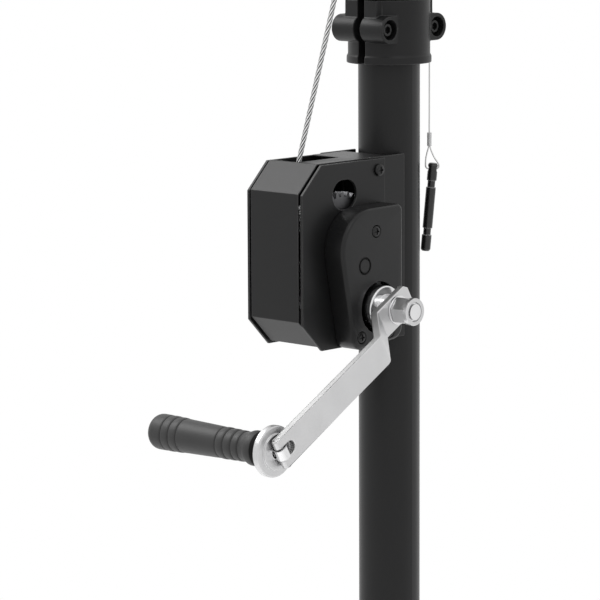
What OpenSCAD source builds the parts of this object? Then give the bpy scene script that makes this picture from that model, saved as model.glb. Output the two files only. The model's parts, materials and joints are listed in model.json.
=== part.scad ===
// Crank lighting stand: a braced tripod, a telescopic mast, and a hand winch with a load brake.
// Millimetres. The mast's axis is Z, the floor is z = 0, the winch is on the -Y side and its crank on +X.

/* [Mast] */
// Outside diameter of the fixed mast tube
mast_od = 50; // [48:1:52]
// Wall of the fixed mast tube
mast_wall = 1.5; // [1.2:0.1:2]
// Height of the lower end of the fixed tube
mast_bottom = 170; // [150:5:180]
// Outside diameter of the lifting tube
inner_od = 38; // [37:0.5:38.5]
// Wall of the lifting tube
inner_wall = 2; // [1.5:0.1:3]
// Height of the lower end of the lifting tube when it is down
inner_bottom = 252; // [245:1:300]
// How far the lifting tube stands out above the head when it is down
inner_reach = 119; // [100:1:150]
// Diameter of the holes for the lock pin
pin_hole_d = 9; // [8.6:0.2:12]
// Distance between the lock pin holes in the lifting tube
pin_hole_step = 250; // [150:10:300]

/* [Winch housing] */
// Height of the lower edge of the side plates
winch_z = 1175; // [1120:5:1200]
// Outside width over the two side plates
housing_w = 60; // [60:1:66]
// Height of the side plates
housing_h = 147; // [146:1:152]
// Distance from the mast's axis to the front of the side plates
housing_front = 135; // [132:1:145]
// Distance from the mast's axis to the rear edge of the side plates
housing_rear = 38.5; // [36:0.5:40]
// Leg of the cut front corners
housing_chamfer = 22; // [16:1:24]
// Thickness of the side plates
plate_t = 2.5; // [2:0.1:2.8]
// Thickness of the bent front cover
cover_t = 1.2; // [0.8:0.1:1.6]
// Gap between the front cover and each side plate
cover_gap = 1.9; // [1:0.1:2.4]
// Right edge of the rope notch in the top of the cover
notch_right = 5; // [2:1:8]
// Rear edge of the rope notch, in front of the mast's axis
notch_rear = 64; // [60:1:76]
// Thickness of the mast bracket
bracket_t = 2.5; // [2:0.1:2.5]
// How far the bracket's flanges reach forward of the mast's axis
bracket_front = 53; // [50:1:56]
// How far the bracket's flanges stay forward of the mast's axis at the rear
bracket_rear = 12; // [8:1:16]
// Length of the inspection hole in the right side plate
window_l = 28; // [22:0.5:30]
// Height of the inspection hole
window_h = 23.4; // [16:0.2:26]

/* [Gears and drum] */
// Module of the gear teeth
gear_module = 2; // [1.9:0.05:2.05]
// Teeth on the pinion
pinion_teeth = 12; // [11:1:13]
// Teeth on the drum gear
gear_teeth = 40; // [38:1:41]
// Thinning of each tooth so that the pair runs freely
gear_backlash = 0.34; // [0.3:0.02:0.5]
// Drive shaft, distance in front of the mast's axis
shaft_front = 67.7; // [66:0.1:69]
// Drive shaft, height over the lower edge of the plates
shaft_h = 31.8; // [31:0.1:34]
// Drive shaft diameter
shaft_d = 16; // [14:0.5:16.5]
// Drum axis, distance in front of the mast's axis
drum_front = 83; // [81:0.5:86]
// Drum axle diameter
axle_d = 12; // [10:0.5:14]
// Diameter of the rope
rope_d = 4; // [3:0.1:4.1]
// Radius of the outer rope layer on the drum, to the rope's centre
rope_wind_r = 30; // [28:0.5:32]
// Radius of the drum's flanges
drum_flange_r = 40; // [38:0.5:42]
// Turns of rope in the outer layer
rope_turns = 4; // [2:1:4]

/* [Load brake] */
// Outside radius of the ratchet wheel
ratchet_r = 18.3; // [17.8:0.1:18.6]
// Teeth on the ratchet wheel
ratchet_teeth = 16; // [16:1:18]
// Depth of the ratchet teeth
ratchet_depth = 2.8; // [2.2:0.1:3]
// Radius of the brake flange on the shaft
brake_flange_r = 19; // [17:0.5:20]
// Radius of the friction discs
friction_r = 17.3; // [15:0.1:18]
// Thickness of one friction disc
friction_t = 1.8; // [1.4:0.1:2]
// How far the brake cover stands out from the side plate
brake_cover_depth = 20; // [19:0.5:22]
// Wall of the brake cover
brake_cover_wall = 2.2; // [1.6:0.1:2.6]
// Radius of the round opening in the brake cover
brake_hole_r = 20.5; // [19.5:0.1:21.5]
// Radius of the crank hub's flange, which presses on the friction discs
hub_flange_r = 18; // [16:0.5:19]
// How far the flange stands out of the brake cover
hub_flange_out = 7; // [4:0.5:9]

/* [Crank] */
// Distance from the drive shaft to the fold pin of the grip
crank_r = 180; // [160:1:190]
// Angle of the crank arm below the horizontal
crank_drop = 29.5; // [27:0.5:32]
// Width of the crank arm
arm_w = 25; // [24:0.5:26]
// Thickness of the crank arm
arm_t = 6; // [5.6:0.1:6.6]
// Outer face of the arm at the shaft, from the middle of the winch
arm_face_in = 69.5; // [68:0.5:72]
// Sideways step of the arm between shaft and grip
arm_step = 25; // [18:0.5:27]
// Length of the fold slot, from the arm's end
slot_l = 17; // [15:0.5:24]
// Width of the fold slot
slot_w = 10; // [9:0.2:11]
// Free end of the drive shaft, from the middle of the winch
shaft_end = 88; // [87:0.5:92]

/* [Grip] */
// Length of the grip
grip_l = 119.5; // [112:0.5:130]
// Diameter of the grip at its free end
grip_end_d = 28; // [26:0.5:30]
// Diameter of the grip at its neck
grip_neck_d = 23.6; // [22:0.2:26]
// Diameter of the axle in the grip
grip_axle_d = 10; // [8:0.5:11]
// Diameter of the ring at the grip's base
grip_ring_d = 40; // [36:0.5:42]

/* [Collar and head] */
// Height of the collar's lower lip over the lower edge of the winch plates
collar_up = 219.5; // [210:0.5:230]
// Height of the clamp collar
collar_h = 51.5; // [48:0.5:54]
// Outside diameter of the collar
collar_d = 66.4; // [65:0.2:68]
// Outside diameter of the collar's lip
collar_lip_d = 68.6; // [67.8:0.1:69.4]
// Height of the collar's lip
collar_lip_h = 7; // [5:0.5:9]
// Width of the slit between the collar halves
collar_slit = 7; // [4:0.5:8]
// Diameter of the clamp lugs
lug_d = 22; // [20:0.5:23]
// Length over one pair of clamp lugs
lug_l = 54; // [50:1:58]
// Radius at which the rope runs over the sheave, to the rope's centre
sheave_r = 17; // [16:0.5:19]
// Sheave axis, height over the collar's lower lip
sheave_up = 80; // [79:1:90]

/* [Top socket] */
// Diameter of the socket for a spigot
socket_d = 29; // [28.4:0.1:30]
// Depth of the socket
socket_depth = 55; // [45:1:65]
// Wall of the socket
socket_wall = 6; // [5:0.5:7]

/* [Lock pin] */
// Diameter of the lock pin
lock_pin_d = 8; // [7:0.2:8.4]
// Length of the lock pin
lock_pin_l = 72.4; // [66:0.2:76]
// Diameter of the lanyard wire
lanyard_d = 1.2; // [1:0.1:1.6]

/* [Tripod] */
// Radius of the feet from the mast's axis
foot_r = 600; // [560:5:640]
// Height of the leg hub's pins over the floor
hub_z = 640; // [620:5:645]
// Radius of the leg hub's pins from the mast's axis
leg_pin_r = 52; // [52:0.5:55]
// Outside diameter of the legs
leg_od = 25; // [23:0.5:25]
// Wall of the legs
leg_wall = 1.5; // [1.2:0.1:2]
// Height of the lower collar's pins over the floor
low_z = 230; // [225:1:240]
// Radius of the lower collar's pins from the mast's axis
brace_pin_r = 38; // [38:0.5:40]
// Distance along a leg from its pin to the brace
brace_at = 430; // [410:5:450]
// Height of the pressed braces
brace_h = 20; // [18:0.5:20]
// Sheet thickness of the braces
brace_t = 2.5; // [2:0.1:3]
// Diameter of the tripod's pins
pin_d = 8; // [6:0.5:9]

/* [Hidden] */
$fn = 48;

// Finishes
black_paint = [0.13, 0.13, 0.135];
black_plastic = [0.10, 0.10, 0.105];
black_rubber = [0.08, 0.08, 0.08];
zinc = [0.78, 0.78, 0.76];
steel = [0.62, 0.63, 0.64];

// Clearances
cut = 1;                 // overrun of a cutting solid
seat_gap = 0.1;          // between pieces that are fitted together
run_gap = 0.06;          // radial, for a shaft that turns in a bore
slide_gap = 0.35;        // between pieces that pass each other
open_gap = 0.5;          // beside the legs and braces

// Mast
mast_r = mast_od / 2;
mast_in_r = mast_r - mast_wall;
inner_r = inner_od / 2;
rope_r = rope_d / 2;
drop_y = -(inner_r + mast_in_r) / 2;
collar_z = winch_z + collar_up;
collar_top = collar_z + collar_h;
head_lap = 12;
head_step = 0.5;
mast_top = collar_top + head_step + head_lap;
head_base_h = 25.5;
head_base_top = collar_top + head_step + head_base_h;
head_r = collar_d / 2;
bush_lip = 4;
sheave_z = collar_z + sheave_up;
sheave_y = drop_y - sheave_r;
sheave_w = 10;
sheave_edge_r = sheave_r + rope_r - slide_gap;
sheave_pin_r = 4;
cheek_t = 4.2;
cheek_in = sheave_w / 2 + 0.8;
head_top = sheave_z + 21;
inner_top = head_top + inner_reach;
pin_hole_z = collar_z - 60;
foot_ring_h = 22;

// Winch frame: heights count from the lower edge of the side plates
plate_x = housing_w / 2;
plate_in = plate_x - plate_t;
cover_half_w = plate_in - cover_gap;
cover_rise = 0.8;
cover_proud = 0.4;
cover_lift = 2.7;
bracket_in = plate_in - bracket_t;
bracket_top = housing_h + 1.2;
shaft_y = -shaft_front;
shaft_r = shaft_d / 2;
drum_y = -drum_front;
gear_reach = gear_module * (pinion_teeth + gear_teeth) / 2;
drum_h = shaft_h + sqrt(pow(gear_reach, 2) - pow(drum_front - shaft_front, 2));
axle_r = axle_d / 2;
pressure = 20;
addendum = 0.8 * gear_module;
dedendum = 1.15 * gear_module;
gear_w = 7.6;
gear_x = bracket_in - gear_w - 0.6;
drum_flange_t = 2.5;
drum_right = gear_x;
drum_left = -bracket_in + 0.6;
drum_core_r = 18;
rope_core_r = rope_wind_r - rope_r - slide_gap;
rope_pitch = rope_d + 0.9;
wind_start = drum_right - drum_flange_t - rope_r - 0.7 - rope_turns * rope_pitch;
rope_exit_x = wind_start - rope_pitch;

// Rope line from the drum to the sheave, in the plane of Y and height
line_dy = sheave_y - drum_y;
line_dz = sheave_z - winch_z - drum_h;
line_l = norm([line_dy, line_dz]);
line_tilt = acos((rope_wind_r - sheave_r) / line_l);
line_dir = atan2(line_dz, line_dy);
wrap_start = line_dir + line_tilt;

// Load brake stack, out from the right side plate
brake_x = plate_x + 3;
brake_flange_t = 2.5;
ratchet_t = 3.8;
disc_x = brake_x + brake_flange_t + seat_gap;
ratchet_x = disc_x + friction_t + seat_gap;
disc_2_x = ratchet_x + ratchet_t + seat_gap;
hub_x = disc_2_x + friction_t + seat_gap;
hub_r = 11;
pawl_y = -84.5;
pawl_h = 66.5;
pawl_off = [pawl_y - shaft_y, pawl_h - shaft_h];
pawl_reach = norm(pawl_off);
pawl_tip_r = ratchet_r - 1.8;
pawl_l = sqrt(pow(pawl_reach, 2) - pow(pawl_tip_r, 2));
pawl_tip_a = atan2(pawl_off[1], pawl_off[0]) - acos(pawl_tip_r / pawl_reach);
pawl_pin_r = 4;
pawl_eye_r = 7;
brake_face = plate_x + brake_cover_depth;
brake_screws = [[-71, 92.7], [-88.5, 10], [-55, 10.8]];
brake_screw_r = 2;
brake_round = 3;

// Housing screws: top and bottom of both plates' rear edges, as distance and height
plate_screw_y = -46.3;
plate_screw_h = [19, housing_h - 9.1];
plate_screw_head_r = 5;

// Middle of the inspection hole
window_y = -86.1;
window_mid_h = 121.6;

// Crank
thread_r = shaft_r - 0.4;
arm_mid_in = arm_face_in - arm_t / 2;
arm_mid_out = arm_mid_in + arm_step;
arm_end = crank_r + 4.5;
arm_bend_1 = 21.7;
arm_bend_2 = arm_bend_1 + arm_step + 2.8;
fold_pin_r = 2;
eye_r = 7;
ring_off = 4.8;
ring_front_t = 1.5;
ring_front_d = 28;
ring_t = 6;
ring_step_t = 2.3;
grip_off = ring_off + ring_front_t + ring_t + ring_step_t;

// Collar lugs
lug_y = mast_r + 3.5;
lug_h = 28.3;
lug_bore_r = 8;
lug_bore_l = 9;
screw_r = 3;

// Top socket and knobs
socket_r = socket_d / 2;
socket_body_r = socket_r + socket_wall;
socket_z = inner_top + 5;
socket_top = socket_z + socket_depth + 6;
knob_z = socket_z + 6 + socket_depth / 2;
knob_stem_r = 4;
knob_r = 17;
knob_t = 14;

// Tripod
leg_r = leg_od / 2;
foot_rise = 22;
leg_angle = atan2(foot_r - leg_pin_r, hub_z - foot_rise);
leg_l = norm([foot_r - leg_pin_r, hub_z - foot_rise]);
leg_turns = [90, 210, 330];
ear_gap = leg_r + open_gap;
ear_t = 5;
ear_r = 11;
tripod_pin_r = pin_d / 2;
hub_sleeve_r = mast_r + 7;
hub_half_h = 30;
low_sleeve_r = mast_r + 4;
low_half_h = 25;
joint_r = leg_pin_r + brace_at * sin(leg_angle);
joint_z = hub_z - brace_at * cos(leg_angle);
brace_angle = atan2(joint_z - low_z, joint_r - brace_pin_r);
brace_l = norm([joint_r - brace_pin_r, joint_z - low_z]);

// Helpers

// A cylinder along X from x0 to x1, at height z
module bar_x(r, x0, x1, y, z) {
    translate([x0, y, z]) rotate([0, 90, 0]) cylinder(r = r, h = x1 - x0);
}

// A cylinder along Y from y0 to y1
module bar_y(r, y0, y1, x, z) {
    translate([x, y0, z]) rotate([-90, 0, 0]) cylinder(r = r, h = y1 - y0);
}

// A flat shape drawn in Y and Z, given a thickness t along X from x0
module slab_x(x0, t) {
    translate([x0, 0, 0]) rotate([90, 0, 90]) linear_extrude(height = t) children();
}

module on_winch() { translate([0, 0, winch_z]) children(); }

// Everything on the crank: along the arm is +X, across it is +Y, out from the winch is +Z
module on_crank() {
    along = [0, -cos(crank_drop), -sin(crank_drop)];
    across = [0, sin(crank_drop), -cos(crank_drop)];
    on_winch() translate([0, shaft_y, shaft_h])
        multmatrix([for (i = [0 : 2]) [along[i], across[i], i == 0 ? 1 : 0, 0]]) children();
}

// One leg's vertical plane: +X points away from the mast
module on_leg(i) { rotate([0, 0, leg_turns[i]]) children(); }

// Points of a closed tube: rings of a cross section carried along a path
function unit(v) = v / norm(v);
function heading(p, i) = unit(p[min(i + 1, len(p) - 1)] - p[max(i - 1, 0)]);
function side_of(t) = unit(cross(t, abs(t[0]) < 0.7 ? [1, 0, 0] : [0, 1, 0]));
function ring_at(c, t, r, n) = let (s = side_of(t), u = cross(t, s))
    [for (k = [0 : n - 1]) c + r * (cos(360 * k / n) * s + sin(360 * k / n) * u)];

module swept_tube(path, r, sides) {
    rings = len(path);
    points = [for (i = [0 : rings - 1]) each ring_at(path[i], heading(path, i), r, sides)];
    walls = [for (i = [0 : rings - 2], k = [0 : sides - 1])
        let (a = i * sides + k, b = i * sides + (k + 1) % sides)
        each [[a, a + sides, b], [b, a + sides, b + sides]]];
    first = [for (k = [1 : sides - 2]) [0, k, k + 1]];
    base = (rings - 1) * sides;
    last = [for (k = [1 : sides - 2]) [base, base + k + 1, base + k]];
    polyhedron(points, concat(walls, first, last));
}

// Points of a helix about the X axis, n rings a turn
function helix(r, x0, pitch, turns, n, y, z, a0) = [for (i = [0 : turns * n])
    [x0 + pitch * i / n, y + r * cos(a0 + 360 * i / n), z + r * sin(a0 + 360 * i / n)]];

// Least clear distance between neighbouring turns of a path with n points a turn
function least_gap(p, n, r) = min([for (i = [0 : len(p) - n - 1], k = [-1 : 1])
    if (i + n + k < len(p)) norm(p[i + n + k] - p[i])]) - 2 * r;

// Mast

module outer_tube() color(black_paint) difference() {
    translate([0, 0, mast_bottom]) cylinder(r = mast_r, h = mast_top - mast_bottom);
    translate([0, 0, mast_bottom - cut]) cylinder(r = mast_in_r, h = mast_top - mast_bottom + 2 * cut);
    bar_y(pin_hole_d / 2, 0, mast_r + cut, 0, pin_hole_z);
}

module mast_cap() color(black_plastic) translate([0, 0, mast_bottom]) {
    plug_h = 20;
    lip_h = 4;
    translate([0, 0, -lip_h]) cylinder(r1 = mast_r - 2, r2 = mast_r, h = lip_h);
    difference() {
        cylinder(r = mast_in_r - seat_gap, h = plug_h);
        translate([0, 0, lip_h]) cylinder(r = mast_in_r - 3, h = plug_h);
    }
}

// One half of the clamp collar, on the +X side
module collar_half() {
    difference() {
        union() {
            cylinder(r = collar_lip_d / 2, h = collar_lip_h - 1.5);
            translate([0, 0, collar_lip_h - 1.5])
                cylinder(r1 = collar_lip_d / 2, r2 = collar_d / 2, h = 1.5);
            cylinder(r = collar_d / 2, h = collar_h);
            for (side = [-1, 1]) {
                bar_x(lug_d / 2, 0, lug_l / 2, side * lug_y, lug_h);
                translate([0, side > 0 ? mast_r / 2 : -lug_y, lug_h - lug_d / 2])
                    cube([lug_l / 2, lug_y - mast_r / 2, lug_d]);
                translate([0, side > 0 ? 0 : -lug_y - 5.7, lug_h])
                    cube([17, lug_y + 5.7, collar_h - lug_h]);
            }
        }
        translate([0, 0, -cut]) cylinder(r = mast_r + seat_gap, h = collar_h + 2 * cut);
        translate([-lug_l, -lug_l, -cut]) cube([lug_l + collar_slit / 2, 2 * lug_l, collar_h + 2 * cut]);
    }
}

module collar_right() color(black_paint) translate([0, 0, collar_z]) difference() {
    collar_half();
    for (side = [-1, 1]) {
        bar_x(screw_r + 0.3, 0, lug_l, side * lug_y, lug_h);
        bar_x(lug_bore_r, lug_l / 2 - lug_bore_l, lug_l, side * lug_y, lug_h);
    }
}

module collar_left() color(black_paint) translate([0, 0, collar_z]) difference() {
    mirror([1, 0, 0]) collar_half();
    for (side = [-1, 1]) bar_x(screw_r + seat_gap, -lug_l / 2 + 3, 0, side * lug_y, lug_h);
}

module collar_screws() color(black_paint) translate([0, 0, collar_z]) for (side = [-1, 1]) {
    head_x = lug_l / 2 - lug_bore_l;
    head_l = 6;
    difference() {
        union() {
            bar_x(screw_r, -lug_l / 2 + 5, head_x + cut, side * lug_y, lug_h);
            bar_x(screw_r * 1.66, head_x, head_x + head_l, side * lug_y, lug_h);
        }
        translate([head_x + head_l - 3, side * lug_y, lug_h])
            rotate([0, 90, 0]) cylinder(r = screw_r * 1.05, h = 2 * head_l, $fn = 6);
    }
}

module cheek_shape() {
    reach = sheave_edge_r + 5;
    polygon([[-head_r + 2, collar_top + head_step], [-inner_r - 2, head_base_top], [-inner_r - 2, head_top - 8],
        [sheave_y + 8, head_top], [sheave_y - 8, head_top], [sheave_y - reach + 3, head_top - 10],
        [sheave_y - reach + 3, sheave_z - 14], [-head_r - 4, head_base_top - 12]]);
}

module sheave_head() color(black_paint) difference() {
    union() {
        translate([0, 0, collar_top + head_step]) cylinder(r = head_r, h = head_base_h);
        for (side = [-1, 1]) slab_x(side > 0 ? cheek_in : -cheek_in - cheek_t, cheek_t) cheek_shape();
    }
    translate([0, 0, collar_top]) cylinder(r = mast_r + seat_gap, h = mast_top - collar_top + seat_gap);
    translate([0, 0, collar_top]) cylinder(r = mast_in_r, h = head_base_h + cut);
    translate([0, 0, head_base_top]) cylinder(r = inner_r + 1.5, h = head_top);
    bar_x(sheave_pin_r + seat_gap, -head_r, head_r, sheave_y, sheave_z);
    translate([-cheek_in, sheave_y - sheave_edge_r - 1, sheave_z - sheave_edge_r - 1])
        cube([2 * cheek_in, sheave_edge_r + 1 - sheave_y - inner_r, 2 * sheave_edge_r]);
}

module guide_bush() color(black_plastic) {
    slot = 2 * cheek_in;
    rest = head_base_top - mast_top - seat_gap;
    difference() {
        union() {
            translate([0, 0, mast_top + 2 * seat_gap]) cylinder(r = mast_in_r - seat_gap, h = rest);
            translate([0, 0, head_base_top + seat_gap]) cylinder(r = mast_in_r + 4, h = bush_lip);
        }
        translate([0, 0, mast_top]) cylinder(r = inner_r + slide_gap, h = 2 * head_base_h);
        translate([-slot / 2, -mast_r - 5, mast_top]) cube([slot, mast_r + 5, 2 * head_base_h]);
        half = cheek_in + cheek_t + open_gap;
        translate([-half, -mast_r - 5, head_base_top])
            cube([2 * half, mast_r + 5 - inner_r + 4, bush_lip + cut]);
    }
}

module sheave_pin() color(zinc) {
    half = cheek_in + cheek_t;
    head_t = 3;
    bar_x(sheave_pin_r, -half - head_t, half + head_t, sheave_y, sheave_z);
    for (x = [-half - head_t, half + seat_gap])
        bar_x(sheave_pin_r + 2.5, x, x + head_t - seat_gap, sheave_y, sheave_z);
}

module sheave() color(black_plastic) translate([0, sheave_y, sheave_z]) rotate([0, 90, 0])
    rotate_extrude() {
        groove = sheave_r - rope_r - slide_gap;
        half = sheave_w / 2;
        bore = sheave_pin_r + run_gap;
        polygon([[bore, -half], [groove - 4, -half], [groove - 3, -half + 1.4], [groove - 2, -half],
            [sheave_edge_r, -half], [sheave_edge_r, -half + 1.2], [groove, -rope_r * 0.8],
            [groove, rope_r * 0.8], [sheave_edge_r, half - 1.2], [sheave_edge_r, half],
            [groove - 2, half], [groove - 3, half - 1.4], [groove - 4, half], [bore, half]]);
    }

module inner_tube() color(black_paint) difference() {
    length = inner_top - inner_bottom;
    translate([0, 0, inner_bottom]) cylinder(r = inner_r, h = length);
    translate([0, 0, inner_bottom - cut]) cylinder(r = inner_r - inner_wall, h = length + 2 * cut);
    for (z = [pin_hole_z : -pin_hole_step : inner_bottom + pin_hole_step / 2])
        bar_y(pin_hole_d / 2, 0, inner_r + cut, 0, z);
}

module inner_foot() color(black_plastic) translate([0, 0, inner_bottom]) {
    difference() {
        union() {
            translate([0, 0, -foot_ring_h]) cylinder(r = mast_in_r - slide_gap, h = foot_ring_h);
            cylinder(r = inner_r - inner_wall - seat_gap, h = foot_ring_h);
        }
        translate([0, 0, -foot_ring_h - cut]) cylinder(r = inner_r - inner_wall - 4, h = 3 * foot_ring_h);
        half = rope_r + 0.4;
        translate([-half, -mast_r, -foot_ring_h - cut])
            cube([2 * half, mast_r + drop_y + half, foot_ring_h + 2 * cut]);
    }
}

module rope_end() color(zinc) {
    ferrule_l = 14;
    ferrule_r = rope_r + 1.2;
    translate([0, -mast_in_r + slide_gap + ferrule_r, inner_bottom - foot_ring_h - seat_gap - ferrule_l])
        cylinder(r = ferrule_r, h = ferrule_l);
}

module top_socket() color(black_paint) difference() {
    plug_h = 40;
    union() {
        translate([0, 0, inner_top - plug_h]) cylinder(r = inner_r - inner_wall - seat_gap, h = plug_h + cut);
        translate([0, 0, inner_top + seat_gap]) cylinder(r = inner_r + 2.5, h = 5);
        translate([0, 0, socket_z]) cylinder(r = socket_body_r, h = socket_top - socket_z);
        bar_x(knob_stem_r + 5, 0, socket_body_r + 5, 0, knob_z);
    }
    translate([0, 0, socket_top - socket_depth]) cylinder(r = socket_r, h = socket_depth + cut);
    bar_x(knob_stem_r + seat_gap, socket_r - 1, socket_body_r + 6, 0, knob_z);
}

// A lobed knob on a threaded stem, along +Z, with its stem's tip at the origin
module lobed_knob(stem_l) {
    lobes = 6;
    cylinder(r = knob_stem_r, h = stem_l + cut);
    translate([0, 0, stem_l]) difference() {
        union() {
            cylinder(r = knob_r, h = knob_t - 3);
            translate([0, 0, knob_t - 3]) cylinder(r1 = knob_r, r2 = knob_r - 4, h = 3);
        }
        for (k = [0 : lobes - 1]) rotate([0, 0, 360 * k / lobes])
            translate([knob_r + 2.5, 0, -cut]) cylinder(r = 5.5, h = knob_t + 2 * cut);
    }
}

module socket_knob() color(black_plastic) translate([socket_r + 1, 0, knob_z])
    rotate([0, 90, 0]) lobed_knob(socket_wall + 6);

// Winch

// Outline of a side plate, drawn in Y and height, moved inward by inset
module housing_shape(rear, low, high, inset) {
    front = -housing_front + inset;
    top = high - inset;
    floor = low + inset;
    leg = housing_chamfer - inset * (2 - sqrt(2));
    polygon([[rear, floor], [rear, top], [front + leg, top], [front, top - leg],
        [front, floor + leg], [front + leg, floor]]);
}

module plate_shape() {
    difference() {
        housing_shape(-housing_rear, 0, housing_h, 0);
        translate([shaft_y, shaft_h]) circle(r = shaft_r + 3);
        translate([drum_y, drum_h]) circle(r = axle_r + seat_gap);
        for (h = plate_screw_h) translate([plate_screw_y, h]) circle(r = screw_r + seat_gap);
    }
}

module winch_bracket() color(black_paint) on_winch() {
    web_y = -mast_r - seat_gap - bracket_t;
    for (side = [-1, 1]) slab_x(side > 0 ? bracket_in : -plate_in, bracket_t) difference() {
        translate([-bracket_front, 0]) square([bracket_front - bracket_rear, bracket_top]);
        for (h = plate_screw_h) translate([plate_screw_y, h]) circle(r = screw_r + seat_gap);
    }
    translate([-bracket_in - cut, web_y, 0])
        cube([2 * (bracket_in + cut), bracket_t, housing_h + cover_rise - cover_t - 0.3]);
}

module side_plate_right() color(black_paint) on_winch() slab_x(plate_in, plate_t) difference() {
    plate_shape();
    for (side = [-1, 1])
        translate([window_y + side * (window_l - window_h) / 2, window_mid_h]) circle(d = window_h);
    translate([window_y, window_mid_h]) square([window_l - window_h, window_h], center = true);
    for (p = brake_screws) translate(p) circle(r = brake_screw_r + seat_gap);
    translate([pawl_y, pawl_h]) circle(r = pawl_pin_r + seat_gap);
}

module side_plate_left() color(black_paint) on_winch() slab_x(-plate_x, plate_t) plate_shape();

module front_cover() color(black_paint) on_winch() difference() {
    slab_x(-cover_half_w, 2 * cover_half_w) difference() {
        low = cover_lift;
        high = housing_h + cover_rise;
        rear = -mast_r - 3;
        translate([-cover_proud, 0]) difference() {
            housing_shape(rear, low, high, 0);
            translate([cut, 0]) housing_shape(rear, low, high, cover_t);
            housing_shape(rear + cut, low, high, cover_t);
        }
        translate([-bracket_front - 1, -cut]) square([housing_front, housing_h / 2]);
    }
    for (side = [-1, 1]) translate([side > 0 ? bracket_in - seat_gap : -housing_w, -bracket_front - 1, 0])
        cube([housing_w - bracket_in + seat_gap, bracket_front, 2 * housing_h]);
    translate([-housing_w, -housing_front + housing_chamfer, housing_h - cut])
        cube([housing_w + notch_right, housing_front - housing_chamfer - notch_rear, 3 * cut]);
}

// A pan head with its seat at the origin, facing +Z, and a shank behind it
module pan_screw(head_r, head_t, shank_r, shank_l) {
    difference() {
        rotate_extrude() polygon([[0, 0], [head_r, 0], [head_r, head_t * 0.45], [head_r * 0.86, head_t * 0.8],
            [head_r * 0.5, head_t], [0, head_t]]);
        for (a = [0, 90]) rotate([0, 0, a])
            translate([-head_r * 0.55, -head_r * 0.11, head_t * 0.45])
                cube([head_r * 1.1, head_r * 0.22, head_t]);
    }
    translate([0, 0, -shank_l]) cylinder(r = shank_r, h = shank_l + 0.2);
}

module housing_screws() color(black_paint) on_winch() for (side = [-1, 1], h = plate_screw_h)
    translate([side * (plate_x + seat_gap), plate_screw_y, h])
        rotate([0, side * 90, 0]) pan_screw(plate_screw_head_r, 2.7, screw_r, plate_t + bracket_t + 1.5);

module drum_axle() color(zinc) on_winch() {
    nut_t = 5;
    bar_x(axle_r, -plate_x - 2, plate_x + 1.5, drum_y, drum_h);
    translate([-plate_x - seat_gap - nut_t, drum_y, drum_h]) rotate([0, 90, 0])
        cylinder(r = axle_r + 4, h = nut_t, $fn = 6);
    bar_x(axle_r + 2, plate_x + seat_gap, plate_x + 1.5, drum_y, drum_h);
}

module drum() color(zinc) on_winch() difference() {
    union() {
        bar_x(drum_core_r, drum_left, drum_right, drum_y, drum_h);
        for (x = [drum_left, drum_right - drum_flange_t])
            bar_x(drum_flange_r, x, x + drum_flange_t, drum_y, drum_h);
    }
    bar_x(axle_r + run_gap, drum_left - cut, drum_right + cut, drum_y, drum_h);
}

// Involute of a circle: the roll angle's gain at a pressure angle, in degrees
function roll(a) = tan(a) * 180 / PI - a;

// A spur gear's outline with its first tooth centred on +X
module gear_shape(teeth) {
    pitch_r = gear_module * teeth / 2;
    base_r = pitch_r * cos(pressure);
    root_r = pitch_r - dedendum;
    tip_r = pitch_r + addendum;
    low_r = max(base_r, root_r);
    steps = 4;
    half = 90 / teeth - gear_backlash / 2 / pitch_r * 180 / PI + roll(pressure);
    flank = [for (k = [0 : steps]) let (r = low_r + (tip_r - low_r) * k / steps)
        [r, half - roll(acos(min(1, base_r / r)))]];
    foot = half - roll(acos(min(1, base_r / low_r)));
    polygon([for (n = [0 : teeth - 1]) each let (mid = 360 * n / teeth) concat(
        [root_r * [cos(mid - foot), sin(mid - foot)]],
        [for (k = [0 : steps]) flank[k][0] * [cos(mid - flank[k][1]), sin(mid - flank[k][1])]],
        [for (k = [steps : -1 : 0]) flank[k][0] * [cos(mid + flank[k][1]), sin(mid + flank[k][1])]],
        [root_r * [cos(mid + foot), sin(mid + foot)]])]);
}

mesh_dir = atan2(shaft_h - drum_h, shaft_y - drum_y);

module drum_gear() color(steel) on_winch() difference() {
    slab_x(gear_x, gear_w) translate([drum_y, drum_h]) rotate(mesh_dir) gear_shape(gear_teeth);
    bar_x(axle_r + run_gap, gear_x - cut, gear_x + gear_w + cut, drum_y, drum_h);
}

module rope_winding() color(steel) on_winch() {
    core_l = drum_right - drum_left - 2 * drum_flange_t - 2 * seat_gap;
    path = helix(rope_wind_r, wind_start, rope_pitch, rope_turns, 24, drum_y, drum_h, wrap_start);
    echo("least gap between turns of the rope", least_gap(path, 24, rope_r));
    difference() {
        bar_x(rope_core_r - seat_gap, drum_left + drum_flange_t + seat_gap,
            drum_left + drum_flange_t + seat_gap + core_l, drum_y, drum_h);
        bar_x(drum_core_r + seat_gap, drum_left, drum_right, drum_y, drum_h);
    }
    swept_tube(path, rope_r, 6);
}

function on_circle(c, r, a) = [c[0] + r * cos(a), c[1] + r * sin(a)];
function arc_points(c, r, a0, a1, n) = [for (k = [0 : n]) on_circle(c, r, a0 + (a1 - a0) * k / n)];

// From the drum in a straight line to the sheave, over it, and straight down for one rope diameter
module rope_span() color(steel) {
    low = on_circle([drum_y, winch_z + drum_h], rope_wind_r, wrap_start);
    arc_steps = 16;
    arc = arc_points([sheave_y, sheave_z], sheave_r, wrap_start, 0, arc_steps);
    path = concat([[rope_exit_x, low[0], low[1]]], [for (p = arc) [0, p[0], p[1]]],
        [[0, drop_y, sheave_z - rope_d]]);
    swept_tube(path, rope_r, 12);
}

module rope_drop() color(steel) {
    low = inner_bottom - foot_ring_h;
    translate([0, drop_y, low]) cylinder(r = rope_r, h = sheave_z - rope_d - low);
}

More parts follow.
